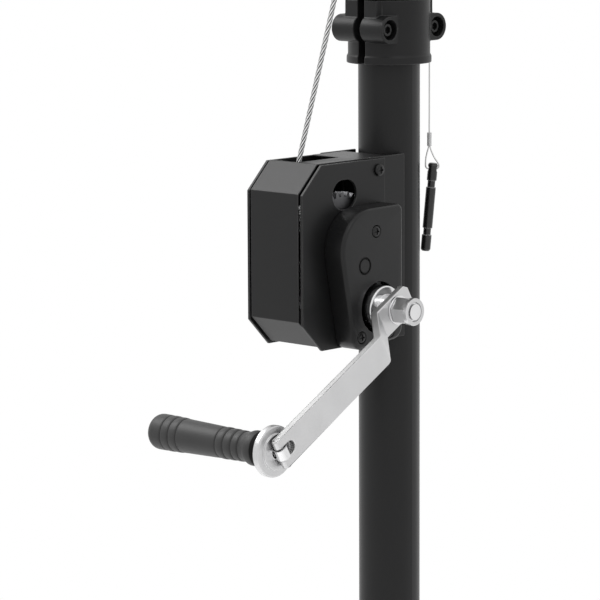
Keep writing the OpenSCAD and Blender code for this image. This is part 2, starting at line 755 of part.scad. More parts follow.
module shaft_bushes() color(zinc) on_winch() for (side = [-1, 1]) {
    x = side > 0 ? plate_in - 2 : -plate_x;
    difference() {
        union() {
            bar_x(shaft_r + 3 - seat_gap, x, x + plate_t + 2, shaft_y, shaft_h);
            bar_x(shaft_r + 5.5, side > 0 ? plate_in - 2 : -plate_in + seat_gap,
                side > 0 ? plate_in - seat_gap : -plate_in + 2, shaft_y, shaft_h);
        }
        bar_x(shaft_r + run_gap, -housing_w, housing_w, shaft_y, shaft_h);
    }
}

module drive_shaft() color(zinc) on_winch() {
    tip_l = 2.5;
    bar_x(shaft_r, -plate_x - 3, arm_face_in - arm_t - 1, shaft_y, shaft_h);
    bar_x(thread_r, arm_face_in - arm_t - 2, shaft_end - tip_l, shaft_y, shaft_h);
    bar_x(thread_r - 1.2, shaft_end - tip_l - cut, shaft_end, shaft_y, shaft_h);
    slab_x(gear_x + open_gap, gear_w - open_gap) translate([shaft_y, shaft_h])
        rotate(mesh_dir + 180 + 180 / pinion_teeth) gear_shape(pinion_teeth);
}

module brake_flange() color(zinc) on_winch() difference() {
    bar_x(brake_flange_r, brake_x, brake_x + brake_flange_t, shaft_y, shaft_h);
    bar_x(shaft_r + run_gap, brake_x - cut, disc_x + cut, shaft_y, shaft_h);
}

module friction_discs() color(black_rubber) on_winch() for (x = [disc_x, disc_2_x]) difference() {
    bar_x(friction_r, x, x + friction_t, shaft_y, shaft_h);
    bar_x(shaft_r + run_gap, x - cut, x + friction_t + cut, shaft_y, shaft_h);
}

module ratchet_wheel() color(zinc) on_winch() difference() {
    pitch = 360 / ratchet_teeth;
    slab_x(ratchet_x, ratchet_t) translate([shaft_y, shaft_h]) rotate(pawl_tip_a)
        polygon([for (n = [0 : ratchet_teeth - 1]) each
            [(ratchet_r - ratchet_depth) * [cos(n * pitch), sin(n * pitch)],
             (ratchet_r - ratchet_depth / 2) * [cos((n + 0.5) * pitch), sin((n + 0.5) * pitch)],
             ratchet_r * [cos((n + 1) * pitch), sin((n + 1) * pitch)]]]);
    bar_x(shaft_r + run_gap, ratchet_x - cut, ratchet_x + ratchet_t + cut, shaft_y, shaft_h);
}

// The pawl's arm is drawn from its tip towards its pin, with the ratchet's side at +Y
module pawl() color(zinc) on_winch() difference() {
    union() {
        slab_x(ratchet_x, ratchet_t) translate([shaft_y, shaft_h]) rotate(pawl_tip_a)
            translate([pawl_tip_r, 0]) rotate(90)
                polygon([[0.3, 0.3], [6.5, -1.8], [pawl_l, pawl_eye_r - 0.5], [pawl_l, -pawl_eye_r + 0.5],
                    [14, -7.4], [3, -5.4], [0.3, -3.6]]);
        bar_x(pawl_eye_r, ratchet_x, ratchet_x + ratchet_t, pawl_y, pawl_h);
    }
    bar_x(pawl_pin_r + run_gap, plate_x, brake_face, pawl_y, pawl_h);
}

module pawl_pin() color(zinc) on_winch() {
    head = brake_face - brake_cover_wall - seat_gap;
    bar_x(pawl_pin_r, plate_in, head, pawl_y, pawl_h);
    bar_x(pawl_pin_r + 2, ratchet_x + ratchet_t + seat_gap, ratchet_x + ratchet_t + 1.5, pawl_y, pawl_h);
}

module pawl_spring() color(steel) on_winch() {
    wire_r = 0.5;
    coil_r = pawl_pin_r + wire_r + 0.5;
    turns = 3;
    pitch = (ratchet_x - plate_x - 2 * wire_r - 0.8) / turns;
    path = helix(coil_r, plate_x + wire_r + 0.4, pitch, turns, 8, pawl_y, pawl_h, 0);
    echo("least gap between turns of the spring", least_gap(path, 8, wire_r));
    swept_tube(path, wire_r, 6);
}

// Outline of the brake cover, drawn in Y and height, moved inward by inset
module brake_cover_shape(inset) {
    rear = -housing_rear - 0.5;
    hull() {
        translate([-77, 78.3]) circle(r = 33.4 - inset);
        translate([rear - 5, 107]) circle(r = 5 - inset);
        translate([-88, 9.5]) circle(r = 9.5 - inset);
        translate([rear - 11, 14.5]) circle(r = 11 - inset);
    }
}

module brake_cover() color(black_plastic) on_winch() difference() {
    union() {
        difference() {
            hull() {
                slab_x(plate_x + seat_gap, brake_cover_depth - brake_round) brake_cover_shape(0);
                slab_x(brake_face - brake_round / 3, 0.1) brake_cover_shape(brake_round / 3);
                slab_x(brake_face - 0.1, 0.1) brake_cover_shape(brake_round);
            }
            slab_x(plate_x, brake_cover_depth - brake_cover_wall) brake_cover_shape(brake_cover_wall);
        }
        for (p = brake_screws) bar_x(4.6, plate_x + seat_gap, brake_face - 1, p[0], p[1]);
    }
    bar_x(brake_hole_r, plate_x - cut, brake_face + cut, shaft_y, shaft_h);
    for (p = brake_screws) {
        bar_x(brake_screw_r + seat_gap, plate_x - cut, brake_face + cut, p[0], p[1]);
        bar_x(4.9, brake_face - 2, brake_face + cut, p[0], p[1]);
    }
    translate([brake_face - 0.4, pawl_y, pawl_h]) rotate([0, 90, 0]) difference() {
        cylinder(r = 6.5, h = 2);
        translate([0, 0, -cut]) cylinder(r = 5.9, h = 4);
    }
}

module brake_cover_screws() color(black_paint) on_winch() for (p = brake_screws)
    translate([brake_face - 2 + seat_gap, p[0], p[1]])
        rotate([0, 90, 0]) pan_screw(4.6, 2.6, brake_screw_r, brake_cover_depth);

// Crank

module crank_hub() color(zinc) on_winch() difference() {
    flange_end = brake_face + hub_flange_out;
    edge = 0.8;
    union() {
        hull() {
            bar_x(hub_flange_r, hub_x, flange_end - edge, shaft_y, shaft_h);
            bar_x(hub_flange_r - edge, hub_x, flange_end, shaft_y, shaft_h);
        }
        bar_x(hub_r, hub_x, arm_face_in - arm_t, shaft_y, shaft_h);
    }
    bar_x(shaft_r + run_gap, hub_x - cut, arm_face_in, shaft_y, shaft_h);
}

// A flat bar with two rounded bends and a round end, drawn along the arm and out from the winch
module crank_arm() color(zinc) on_crank() difference() {
    slope = atan2(arm_step, arm_bend_2 - arm_bend_1);
    bend_r = arm_t * 0.9;
    pull = bend_r * tan(slope / 2);
    head = 18.7;
    clip = 4;
    low_c = [arm_bend_1 - pull, arm_mid_in + bend_r];
    high_c = [arm_bend_2 + pull, arm_mid_out - bend_r];
    small = bend_r - arm_t / 2;
    large = bend_r + arm_t / 2;
    linear_bar = concat(
        [[-head, arm_mid_in - arm_t / 2]], arc_points(low_c, large, -90, slope - 90, 6),
        arc_points(high_c, small, slope + 90, 90, 6),
        arc_points([arm_end - arm_t / 2, arm_mid_out], arm_t / 2, -90, 90, 10),
        arc_points(high_c, large, 90, slope + 90, 6), arc_points(low_c, small, slope - 90, -90, 6),
        [[-head, arm_mid_in + arm_t / 2]]);
    rotate([90, 0, 0]) linear_extrude(height = arm_w, center = true) polygon(linear_bar);
    cylinder(r = shaft_r + run_gap, h = arm_face_in + cut);
    for (side = [-1, 1]) translate([-head, side * arm_w / 2, 0]) rotate([0, 0, 45])
        translate([-clip / sqrt(2), -clip / sqrt(2), 0]) cube([clip * sqrt(2), clip * sqrt(2), 2 * shaft_end]);
    translate([arm_end - slot_l + slot_w / 2, 0, 0]) cylinder(d = slot_w, h = 2 * shaft_end);
    translate([arm_end - slot_l + slot_w / 2, -slot_w / 2, 0]) cube([slot_l, slot_w, 2 * shaft_end]);
    translate([crank_r, arm_w / 2 + cut, arm_mid_out]) rotate([90, 0, 0])
        cylinder(r = fold_pin_r + seat_gap / 2, h = arm_w + 2 * cut);
}

module crank_washer() color(zinc) on_winch() difference() {
    bar_x(hub_r + 0.6, arm_face_in + seat_gap, arm_face_in + 1.7, shaft_y, shaft_h);
    bar_x(shaft_r + run_gap, arm_face_in - cut, arm_face_in + 3, shaft_y, shaft_h);
}

module crank_nut() color(zinc) on_winch() difference() {
    hex_r = 11.4;
    hex_turn = 20;
    ring_r = 10.9;
    seat = arm_face_in + 1.8;
    collar = shaft_end - 4;
    union() {
        translate([seat, shaft_y, shaft_h]) rotate([0, 90, 0]) rotate([0, 0, hex_turn])
            cylinder(r = hex_r, h = collar - seat, $fn = 6);
        bar_x(ring_r, collar - cut, shaft_end - 0.4, shaft_y, shaft_h);
    }
    bar_x(thread_r + run_gap, seat - cut, shaft_end + cut, shaft_y, shaft_h);
}

module fold_pin() color(zinc) on_crank() translate([crank_r, 0, arm_mid_out]) rotate([90, 0, 0])
    cylinder(r = fold_pin_r, h = arm_w, center = true);

// Everything on the grip's axis: +Z runs along the grip from the fold pin
module on_grip() { on_crank() translate([crank_r, 0, arm_mid_out]) rotate([180, 0, 0]) children(); }

module grip_axle() color(zinc) on_grip() {
    eye_w = slot_w - 1;
    axle_end = grip_off + grip_l - 8;
    difference() {
        union() {
            intersection() {
                rotate([90, 0, 0]) cylinder(r = eye_r, h = eye_w, center = true);
                translate([-2 * eye_r, -eye_w, -2 * eye_r])
                    cube([4 * eye_r, 2 * eye_w, 2 * eye_r + ring_off - seat_gap]);
            }
            translate([0, 0, ring_off - cut]) cylinder(d = grip_axle_d, h = axle_end - ring_off);
        }
        rotate([90, 0, 0]) cylinder(r = fold_pin_r + run_gap, h = 2 * eye_w, center = true);
    }
}

module grip_ring() color(zinc) on_grip() translate([0, 0, ring_off]) difference() {
    edge = 0.8;
    union() {
        cylinder(d = ring_front_d, h = ring_front_t + cut);
        translate([0, 0, ring_front_t]) {
            cylinder(d1 = grip_ring_d - 2 * edge, d2 = grip_ring_d, h = edge);
            translate([0, 0, edge]) cylinder(d = grip_ring_d, h = ring_t - 2 * edge);
            translate([0, 0, ring_t - edge]) cylinder(d1 = grip_ring_d, d2 = grip_ring_d - 2 * edge, h = edge);
            cylinder(d = grip_neck_d, h = ring_t + ring_step_t - seat_gap);
        }
    }
    translate([0, 0, -cut]) cylinder(d = grip_axle_d + 2 * seat_gap, h = 3 * ring_t);
}

// Radius of the grip at a distance from its base: a long even swell from neck to end
grip_flange_l = 10;
grip_body_l = grip_l - grip_flange_l;
function grip_body_r(t) = (grip_neck_d + (grip_end_d - grip_neck_d)
    * (1 - cos(180 * (t - grip_flange_l) / grip_body_l)) / 2) / 2;

module grip() color(black_rubber) on_grip() translate([0, 0, grip_off]) {
    groove_w = 1.8;
    groove_d = 1.2;
    end_r = grip_end_d / 2;
    neck_r = grip_neck_d / 2;
    inner_grooves = [for (k = [0 : 3]) 20.3 + 8.9 * k];
    outer_grooves = [for (k = [2 : -1 : 0]) grip_l - 14.2 - 8 * k];
    rows = concat(inner_grooves, outer_grooves);
    rotate_extrude() difference() {
        polygon(concat([[0, 0], [neck_r + 1.8, 0], [neck_r + 2.1, 0.8], [neck_r + 2.1, 6.2], [neck_r + 1.4, 8],
                [neck_r + 0.4, grip_flange_l]],
            [for (k = [1 : 10]) let (t = grip_flange_l + (grip_body_l - 10) * k / 10) [grip_body_r(t), t]],
            [for (k = [0 : 6]) [end_r - 7 + 7 * cos(15 * k), grip_l - 7 + 7 * sin(15 * k)]],
            [[0, grip_l]]));
        for (t = rows)
            translate([grip_body_r(t) - groove_d, t - groove_w / 2]) square([2 * groove_d, groove_w]);
        translate([-cut, -cut]) square([grip_axle_d / 2 + run_gap + cut, grip_l - 7 + cut]);
    }
}

// Lock pin on its lanyard

lanyard_x = 15.5;
lanyard_y = 31.9;
lanyard_top = collar_z + lug_h - sqrt(pow(lug_d / 2, 2) - pow(lanyard_y - lug_y, 2)) - 0.35;
ferrule_top = collar_z - 58.6;
ferrule_l = 11;
lock_pin_top = ferrule_top - ferrule_l - 14;
lock_pin_off = [2.26, 2.12];
lock_pin_lean = [-4.6, -4.3];
pin_eye = 5;
// The wire's loop through the pin's cross hole, as distance along the lean and height
loop_way = unit(-lock_pin_lean);
loop_route = [[0.65, -0.1], [0.65, -0.9], [1.2, -3], [2.6, -6.5], [4.3, -10], [6.1, -12.6], [7.4, -14.8],
    [7.8, -16.6], [7.6, -17.6], [7.1, -18.4], [6.3, -18.9], [5.3, -19.1], [2.7, -19.1], [-0.5, -18.9],
    [-1.5, -18.7], [-2.3, -18.1], [-2.9, -17.3], [-3.1, -16.3], [-3.1, -14], [-2.9, -11], [-2.3, -7.5],
    [-1.4, -4], [-0.65, -0.9], [-0.65, -0.1]];

module lanyard_wire() color(steel) {
    top = [lanyard_x, lanyard_y, lanyard_top];
    low = [lanyard_x, lanyard_y, ferrule_top];
    swept_tube([for (k = [0 : 8]) top + (low - top) * k / 8], lanyard_d / 2, 8);
    loop_start = low - [0, 0, ferrule_l];
    loop = [for (p = loop_route) loop_start + [loop_way[0] * p[0], loop_way[1] * p[0], p[1]]];
    swept_tube(loop, lanyard_d / 2, 8);
}

module lanyard_ferrule() color(zinc) translate([lanyard_x, lanyard_y, ferrule_top - ferrule_l])
    cylinder(r = 1.9, h = ferrule_l);

module lock_pin() color(black_paint) {
    lean_l = norm(lock_pin_lean);
    tilt = asin(lean_l / lock_pin_l);
    turn = atan2(lock_pin_lean[1], lock_pin_lean[0]);
    pin_r = lock_pin_d / 2;
    groove_at = [14.3, 53.5];
    groove_l = 5.6;
    place = [lanyard_x + lock_pin_off[0], lanyard_y + lock_pin_off[1], lock_pin_top];
    translate(place) rotate([0, 180 - tilt, turn]) difference() {
        union() {
            cylinder(r1 = pin_r - 1, r2 = pin_r, h = 1.5);
            translate([0, 0, 1.5]) cylinder(r = pin_r, h = lock_pin_l - 3);
            translate([0, 0, lock_pin_l - 1.5]) cylinder(r1 = pin_r, r2 = pin_r - 1, h = 1.5);
        }
        translate([0, 0, pin_eye]) rotate([0, 90, 0]) cylinder(r = 2.2, h = 3 * pin_r, center = true);
        for (t = groove_at) translate([0, 0, t]) difference() {
            cylinder(r = pin_r + cut, h = groove_l);
            translate([0, 0, -cut]) cylinder(r = pin_r - 0.9, h = groove_l + 2 * cut);
        }
    }
}

// Tripod

// A rounded lug that reaches out to a pin: half its width, its reach and its height, in a leg's plane
module pin_lug(y0, width, root_r, reach, z) {
    bar_y(ear_r, y0, y0 + width, reach, z);
    translate([root_r, y0, z - ear_r]) cube([reach - root_r, width, 2 * ear_r]);
}

module lower_collar() color(black_paint) difference() {
    lug_w = 2 * (ear_gap - 0.3);
    union() {
        translate([0, 0, low_z - low_half_h]) cylinder(r = low_sleeve_r, h = 2 * low_half_h);
        for (i = [0 : 2]) on_leg(i) pin_lug(-lug_w / 2, lug_w, mast_r - 4, brace_pin_r, low_z);
    }
    translate([0, 0, low_z - low_half_h - cut]) cylinder(r = mast_r + seat_gap, h = 2 * low_half_h + 2 * cut);
    for (i = [0 : 2]) on_leg(i) bar_y(tripod_pin_r + seat_gap / 2, -mast_od, mast_od, brace_pin_r, low_z);
}

// A pin across a leg's plane with a head at each end
module headed_pin(half, reach, z) {
    head_t = 3;
    bar_y(tripod_pin_r, -half - head_t, half + head_t, reach, z);
    for (y = [-half - head_t, half + seat_gap])
        bar_y(tripod_pin_r + 3, y, y + head_t - seat_gap, reach, z);
}

module brace_pins() color(zinc) for (i = [0 : 2]) on_leg(i)
    headed_pin(ear_gap + brace_t + 0.3, brace_pin_r, low_z);

module leg_hub() color(black_paint) difference() {
    union() {
        translate([0, 0, hub_z - hub_half_h]) cylinder(r = hub_sleeve_r, h = 2 * hub_half_h);
        for (i = [0 : 2], y = [-ear_gap - ear_t, ear_gap])
            on_leg(i) pin_lug(y, ear_t, mast_r - 4, leg_pin_r, hub_z);
        bar_y(knob_stem_r + 5, -hub_sleeve_r - 6, 0, 0, hub_z);
    }
    translate([0, 0, hub_z - hub_half_h - cut])
        cylinder(r = mast_r + slide_gap, h = 2 * hub_half_h + 2 * cut);
    for (i = [0 : 2]) on_leg(i) bar_y(tripod_pin_r + seat_gap / 2, -mast_od, mast_od, leg_pin_r, hub_z);
    bar_y(knob_stem_r + seat_gap, -hub_sleeve_r - 7, -mast_r + cut, 0, hub_z);
}

module leg_pins() color(zinc) for (i = [0 : 2]) on_leg(i) headed_pin(ear_gap + ear_t, leg_pin_r, hub_z);

module hub_knob() color(black_plastic) translate([0, -mast_r - 1, hub_z])
    rotate([90, 0, 0]) lobed_knob(hub_sleeve_r - mast_r + 6);

// A leg's own line: +Z runs from its pin down to its foot
module on_leg_line(i) {
    on_leg(i) translate([leg_pin_r, 0, hub_z]) rotate([0, 180 - leg_angle, 0]) children();
}

module leg(i) color(black_paint) on_leg_line(i) difference() {
    head = 14;
    plug = 30;
    translate([0, 0, -head]) cylinder(r = leg_r, h = leg_l + head);
    translate([0, 0, plug]) cylinder(r = leg_r - leg_wall, h = leg_l);
    rotate([90, 0, 0]) cylinder(r = tripod_pin_r + run_gap, h = 2 * leg_od, center = true);
}

module foot(i) color(black_rubber) intersection() {
    boot_r = leg_r + 4;
    boot_l = 48;
    sole = 34;
    on_leg_line(i) difference() {
        translate([0, 0, leg_l - boot_l]) union() {
            cylinder(r1 = boot_r - 2.5, r2 = boot_r, h = 8);
            translate([0, 0, 8]) cylinder(r = boot_r, h = boot_l + sole - 8);
        }
        translate([0, 0, leg_l - boot_l - cut]) cylinder(r = leg_r + seat_gap, h = boot_l + cut + seat_gap);
    }
    translate([-2 * foot_r, -2 * foot_r, 0]) cube([4 * foot_r, 4 * foot_r, hub_z]);
}

// A pressed channel: two flanges beside the leg and a web between them on the upper side
module brace(i) color(black_paint) on_leg(i) translate([brace_pin_r, 0, low_z])
    rotate([0, -brace_angle, 0]) difference() {
        half_h = brace_h / 2;
        web_start = 36;
        web_end = brace_l - 85;
        union() {
            for (y = [-ear_gap - brace_t, ear_gap]) {
                translate([0, y, -half_h]) cube([brace_l, brace_t, brace_h]);
                for (x = [0, brace_l]) bar_y(half_h, y, y + brace_t, x, 0);
            }
            translate([web_start, -ear_gap - brace_t / 2, half_h - brace_t])
                cube([web_end - web_start, 2 * ear_gap + brace_t, brace_t]);
            for (y = [-ear_gap - brace_t - 2.5, ear_gap + brace_t - cut])
                bar_y(6, y, y + 2.5 + cut, brace_l, 0);
        }
        bar_y(tripod_pin_r + run_gap, -leg_od, leg_od, 0, 0);
    }

module leg_1() leg(0);
module leg_2() leg(1);
module leg_3() leg(2);
module foot_1() foot(0);
module foot_2() foot(1);
module foot_3() foot(2);
module brace_1() brace(0);
module brace_2() brace(1);
module brace_3() brace(2);

outer_tube();
mast_cap();
collar_right();
collar_left();
collar_screws();
sheave_head();
guide_bush();
sheave_pin();
sheave();
winch_bracket();
side_plate_right();
side_plate_left();
front_cover();
housing_screws();
drum_axle();
drum();
drum_gear();
rope_winding();
rope_span();
rope_drop();
rope_end();
shaft_bushes();
drive_shaft();
brake_flange();
friction_discs();
ratchet_wheel();
pawl();
pawl_pin();
pawl_spring();
brake_cover();
brake_cover_screws();
crank_hub();
crank_arm();
crank_washer();
crank_nut();
fold_pin();
grip_axle();
grip_ring();
grip();
inner_tube();
inner_foot();
top_socket();
socket_knob();
lanyard_wire();
lanyard_ferrule();
lock_pin();
lower_collar();
brace_pins();
leg_hub();
leg_pins();
hub_knob();
leg_1();
leg_2();
leg_3();
foot_1();
foot_2();
foot_3();
brace_1();
brace_2();
brace_3();
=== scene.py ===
"""Looks of the crank lighting stand: finishes, softened edges, stranded rope and studio.

Everything is in metres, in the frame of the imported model: +Z up along the mast, the winch on the -Y side.
"""
import json
import math

import bmesh
import bpy
from mathutils import Matrix, Vector


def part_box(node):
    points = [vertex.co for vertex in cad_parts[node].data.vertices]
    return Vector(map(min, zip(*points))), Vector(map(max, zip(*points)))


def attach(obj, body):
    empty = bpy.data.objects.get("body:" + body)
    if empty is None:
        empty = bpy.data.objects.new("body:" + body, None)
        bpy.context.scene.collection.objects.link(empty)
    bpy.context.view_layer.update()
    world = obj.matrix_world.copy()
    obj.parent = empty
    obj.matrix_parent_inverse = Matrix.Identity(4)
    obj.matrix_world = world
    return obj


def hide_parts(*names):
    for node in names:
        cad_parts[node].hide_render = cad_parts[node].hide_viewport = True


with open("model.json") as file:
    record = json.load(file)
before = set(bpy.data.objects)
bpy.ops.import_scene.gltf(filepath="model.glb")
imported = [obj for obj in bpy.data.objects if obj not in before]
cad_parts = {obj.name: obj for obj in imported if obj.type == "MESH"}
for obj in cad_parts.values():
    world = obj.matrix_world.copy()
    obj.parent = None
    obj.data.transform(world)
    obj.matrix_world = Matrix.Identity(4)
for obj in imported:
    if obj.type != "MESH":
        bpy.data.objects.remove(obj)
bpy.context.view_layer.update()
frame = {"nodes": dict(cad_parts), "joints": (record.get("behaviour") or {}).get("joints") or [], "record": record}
nodes = frame["nodes"]
record = frame["record"]
joints = {j["name"]: j for j in frame["joints"]}
body_of = {n: b for b, members in record["behaviour"]["bodies"].items() for n in members}
slot_of = {s["node"]: s["material_slot"] for s in record["subparts"]}
scene = bpy.context.scene
MM = 0.001


def link(name, data):
    """A new object in the scene."""
    thing = bpy.data.objects.new(name, data)
    scene.collection.objects.link(thing)
    return thing


# Camera: the photograph's place, aim and lens

CAMERA_PLACE = Vector((1.8273, -2.0526, 1.6171))
CAMERA_AIM = Vector((-0.0544, -0.0484, 1.2000))
CAMERA_ROLL = math.radians(-0.264)
CAMERA_LENS = 204.27
SENSOR_WIDTH = 36

camera_data = bpy.data.cameras.new("camera")
camera_data.lens = CAMERA_LENS
camera_data.sensor_width = SENSOR_WIDTH
camera = link("camera", camera_data)
camera.location = CAMERA_PLACE
camera.rotation_mode = "QUATERNION"
look = (CAMERA_AIM - CAMERA_PLACE).to_track_quat("-Z", "Y")
camera.rotation_quaternion = look @ Matrix.Rotation(CAMERA_ROLL, 3, "Z").to_quaternion()
scene.camera = camera
scene.view_settings.view_transform = "Standard"


# Lanyard of the lock pin: the route's points are those of the solid, seen along the pin's lean

LANYARD_D = 1.2 * MM
LANYARD_TOP = Vector((0.0155, 0.0319, 1.412))
FERRULE_TOP_Z = 1.3359
FERRULE_L = 11 * MM
HANG_STEPS = 5
LEAN = Vector((4.6, 4.3, 0)).normalized()
# Along the lean and up from the ferrule's lower end, in millimetres
LOOP_ROUTE = [(0.65, -0.1), (0.65, -0.9), (1.2, -3), (2.6, -6.5), (4.3, -10), (6.1, -12.6), (7.4, -14.8),
              (7.8, -16.6), (7.6, -17.6), (7.1, -18.4), (6.3, -18.9), (5.3, -19.1), (2.7, -19.1),
              (-0.5, -18.9), (-1.5, -18.7), (-2.3, -18.1), (-2.9, -17.3), (-3.1, -16.3), (-3.1, -14),
              (-2.9, -11), (-2.3, -7.5), (-1.4, -4), (-0.65, -0.9), (-0.65, -0.1)]

ferrule_low = Vector((LANYARD_TOP.x, LANYARD_TOP.y, FERRULE_TOP_Z - FERRULE_L))
hang_step = Vector((0, 0, (LANYARD_TOP.z - FERRULE_TOP_Z) / HANG_STEPS))
lanyard_points = [LANYARD_TOP - hang_step * k for k in range(HANG_STEPS + 1)]
lanyard_points += [ferrule_low + LEAN * (along * MM) + Vector((0, 0, up * MM)) for along, up in LOOP_ROUTE]


def smooth_curve(name, points, radius):
    """A round wire on one open spline; its thickness is in the knots' radius, which its box is padded by."""
    wire = bpy.data.curves.new(name, "CURVE")
    wire.dimensions = "3D"
    wire.bevel_depth = 1
    wire.bevel_resolution = 3
    wire.resolution_u = 8
    wire.use_fill_caps = True
    spline = wire.splines.new("BEZIER")
    spline.bezier_points.add(len(points) - 1)
    for knot, point in zip(spline.bezier_points, points):
        knot.co = point
        knot.radius = radius
        knot.handle_left_type = knot.handle_right_type = "AUTO"
    return link(name, wire)


lanyard = smooth_curve("lanyard", lanyard_points, LANYARD_D / 2)
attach(lanyard, body_of["lanyard_wire"])
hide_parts("lanyard_wire")


# Mesh helpers: angles are in degrees

MERGE_DISTANCE = 1e-6
FLAT_ANGLE = 0.5
SHARP_ANGLE = 30
SHADE_ANGLE = 40
ROUND_STEPS = 3


def new_piece(name, mesh, node, material):
    """Link a mesh as a piece that rides on a node's body and stands for that node."""
    piece = link(name, mesh)
    mesh.materials.clear()
    mesh.materials.append(material)
    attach(piece, body_of[node])
    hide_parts(node)
    return piece


def smooth(mesh, angle=SHADE_ANGLE):
    """Smooth shading, with edges sharper than the angle kept sharp."""
    mesh.shade_smooth()
    mesh.set_sharp_from_angle(angle=math.radians(angle))


def softened(node, material, width, reshape=None):
    """A copy of a node's solid, its points moved by reshape, with its sharp edges rounded over."""
    shape = bmesh.new()
    shape.from_mesh(nodes[node].data)
    if reshape:
        for corner in shape.verts:
            corner.co = reshape(corner.co)
    bmesh.ops.remove_doubles(shape, verts=shape.verts, dist=MERGE_DISTANCE)
    bmesh.ops.dissolve_limit(shape, angle_limit=math.radians(FLAT_ANGLE), verts=shape.verts,
                             edges=shape.edges)
    bmesh.ops.connect_verts_concave(shape, faces=shape.faces)
    limit = math.radians(SHARP_ANGLE)
    sharp = [e for e in shape.edges if len(e.link_faces) == 2 and e.calc_face_angle() > limit]
    bmesh.ops.bevel(shape, geom=sharp, offset=width, offset_type="OFFSET", segments=ROUND_STEPS, profile=0.5,
                    affect="EDGES", clamp_overlap=False)
    mesh = bpy.data.meshes.new(node + "_soft")
    shape.to_mesh(mesh)
    shape.free()
    smooth(mesh)
    piece = new_piece(node + "_soft", mesh, node, material)
    weights = piece.modifiers.new("even_normals", "WEIGHTED_NORMAL")
    weights.keep_sharp = True
    return piece


def on_circle(centre, radius, angle, x):
    """A point of a circle round an axis along X."""
    return Vector((x, centre.y + radius * math.cos(angle), centre.z + radius * math.sin(angle)))


def ring_at(shape, centre, radius, x, sides):
    """New corners on such a circle; a radius of nought gives one corner."""
    angles = [2 * math.pi * n / sides for n in range(sides if radius else 1)]
    return [shape.verts.new(on_circle(centre, radius, angle, x)) for angle in angles]


def join_rings(shape, rings):
    """Faces from each ring of corners to the next; a ring of one corner closes the shape to a point."""
    for first, second in zip(rings, rings[1:]):
        for n in range(len(first)):
            after = (n + 1) % len(first)
            ends = [second[after], second[n]] if len(second) > 1 else second
            shape.faces.new([first[n], first[after]] + ends)


def finish_mesh(name, shape, angle=SHADE_ANGLE):
    """A smooth mesh from a shape, with its faces turned outward."""
    mesh = bpy.data.meshes.new(name)
    bmesh.ops.recalc_face_normals(shape, faces=shape.faces)
    shape.to_mesh(mesh)
    shape.free()
    smooth(mesh, angle)
    return mesh


# Material helpers

def grey(level, blue=None):
    """A grey, with its blue a little off where that is given."""
    return (level, level, level if blue is None else blue, 1)


def new_material(name):
    """A node material with its tree, its shader and the object coordinates."""
    material = bpy.data.materials.new(name)
    material.use_nodes = True
    tree = material.node_tree
    shader = tree.nodes["Principled BSDF"]
    place = tree.nodes.new("ShaderNodeTexCoord").outputs["Object"]
    return material, tree, shader, place


def feed(tree, value, socket):
    """Link a value to a socket, or set it there where it is a constant."""
    if isinstance(value, bpy.types.NodeSocket):
        tree.links.new(value, socket)
    else:
        socket.default_value = value


def noise(tree, place, scale, detail=3.0):
    """Fractal noise; scale is in lumps a metre."""
    texture = tree.nodes.new("ShaderNodeTexNoise")
    texture.inputs["Scale"].default_value = scale
    texture.inputs["Detail"].default_value = detail
    tree.links.new(place, texture.inputs["Vector"])
    return texture.outputs["Fac"]


def between(tree, value, low, high, from_low=0.3, from_high=0.7):
    """Map a value to a new range; by default from the range that noise fills."""
    node = tree.nodes.new("ShaderNodeMapRange")
    node.inputs["From Min"].default_value = from_low
    node.inputs["From Max"].default_value = from_high
    node.inputs["To Min"].default_value = low
    node.inputs["To Max"].default_value = high
    tree.links.new(value, node.inputs["Value"])
    return node.outputs["Result"]


def combined(tree, operation, first, second):
    """Two values worked into one."""
    node = tree.nodes.new("ShaderNodeMath")
    node.operation = operation
    tree.links.new(first, node.inputs[0])
    tree.links.new(second, node.inputs[1])
    return node.outputs["Value"]


def dot(tree, first, second):
    """The dot product of a vector and another one, which may be a constant."""
    node = tree.nodes.new("ShaderNodeVectorMath")
    node.operation = "DOT_PRODUCT"
    tree.links.new(first, node.inputs[0])
    feed(tree, second, node.inputs[1])
    return node.outputs["Value"]


def mixed(tree, share, first, second):
    """A number between two numbers by a share."""
    node = tree.nodes.new("ShaderNodeMix")
    tree.links.new(share, node.inputs["Factor"])
    feed(tree, first, node.inputs[2])
    feed(tree, second, node.inputs[3])
    return node.outputs[0]


def blended(tree, share, first, second):
    """A colour between two colours by a share."""
    node = tree.nodes.new("ShaderNodeMix")
    node.data_type = "RGBA"
    tree.links.new(share, node.inputs["Factor"])
    feed(tree, first, node.inputs[6])
    feed(tree, second, node.inputs[7])
    return node.outputs[2]


def bump(tree, height, distance):
    """A bump normal from a height; the distance is that of a height of one, in metres."""
    node = tree.nodes.new("ShaderNodeBump")
    node.inputs["Distance"].default_value = distance
    tree.links.new(height, node.inputs["Height"])
    return node.outputs["Normal"]


# How far the coat's lighter edges reach: partly wear, partly a painted highlight
EDGE_REACH = 0.9 * MM
EDGE_SAMPLES = 4
ON_EDGE, OFF_EDGE = 0.93, 0.995


def edge_share(tree):
    """How much a point lies on an edge: the turn of the normal within the reach."""
    rounded = tree.nodes.new("ShaderNodeBevel")
    rounded.inputs["Radius"].default_value = EDGE_REACH
    rounded.samples = EDGE_SAMPLES
    flat = tree.nodes.new("ShaderNodeNewGeometry").outputs["Normal"]
    return between(tree, dot(tree, rounded.outputs["Normal"], flat), 1, 0, ON_EDGE, OFF_EDGE)


# Kinds of finish

# How near each strand corner lies to the outside, and the shares of it that run from painted shade to painted
# highlight
CROWN = "crown"
SHADE_BELOW, HIGHLIGHT_ABOVE = 0.35, 0.85


